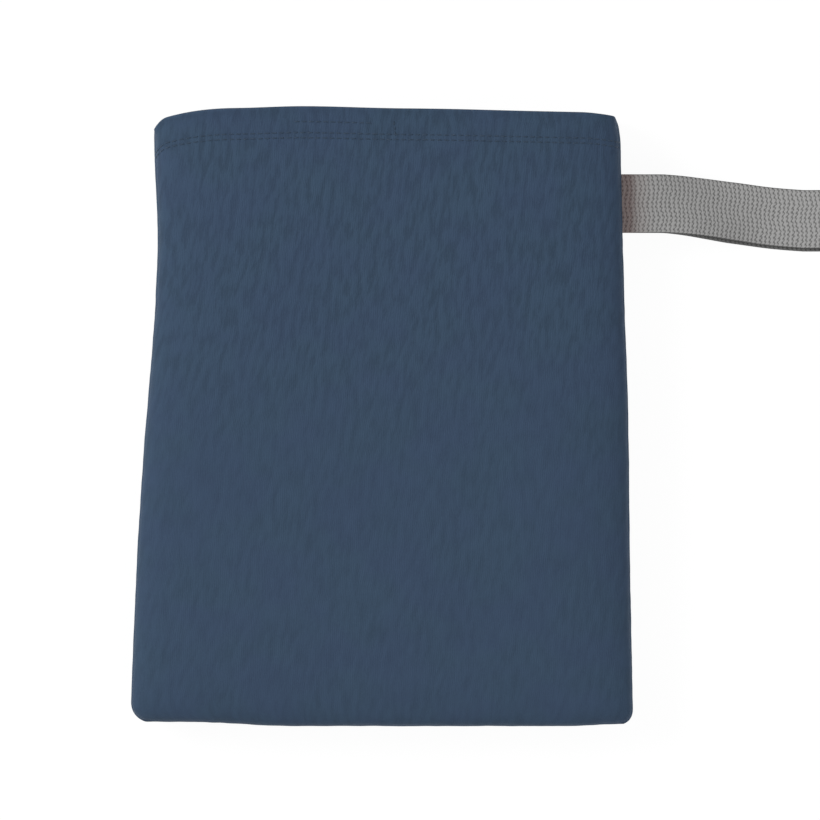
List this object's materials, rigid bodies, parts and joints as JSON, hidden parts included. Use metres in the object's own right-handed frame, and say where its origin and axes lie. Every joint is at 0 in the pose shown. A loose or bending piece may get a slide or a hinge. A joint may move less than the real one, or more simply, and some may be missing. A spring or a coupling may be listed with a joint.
{
  "type": "soft baby carrier",
  "caption": "Stretchy wrap baby carrier, folded and packed in a flat jersey pouch with a webbing wrist strap.",
  "frame": {"origin": "middle of the face that the pouch lies on", "axes": "+X across the pouch towards the side with the strap, +Y towards its mouth, +Z out of its front"},
  "size_m": [0.3652, 0.264, 0.0339],
  "materials": {
    "jersey": "matte slate-blue jersey knit",
    "thread": "matte polyester sewing thread",
    "webbing": "matte grey twill webbing",
    "wrap": "matte slate-blue jersey knit",
    "hem_label": "satin woven label, blank",
    "care_label": "white satin ribbon label, blank"
  },
  "bodies": {
    "pouch": {"front_panel": "jersey", "back_panel": "jersey", "mouth_hem": "jersey", "hem_stitching": "thread", "left_seam": "jersey", "right_seam": "jersey", "bottom_seam": "jersey", "left_overlock": "thread", "right_overlock": "thread", "bottom_overlock": "thread", "strap_anchor": "webbing", "anchor_stitching": "thread"},
    "wrap": {"wrap_cloth": "wrap", "center_label": "hem_label", "care_label": "care_label"},
    "strap": {"wrist_strap": "webbing"}
  },
  "joints": [
    {"name": "wrap_pull_out", "type": "slide", "parent": "pouch", "child": "wrap", "axis": [0, 1, 0], "range_m": [0, 0.27]},
    {"name": "strap_swing", "type": "hinge", "parent": "pouch", "child": "strap", "pos_m": [0.10264, 0.091, 0.01695], "axis": [0, -1, 0], "range_deg": [0, 90]}
  ]
}
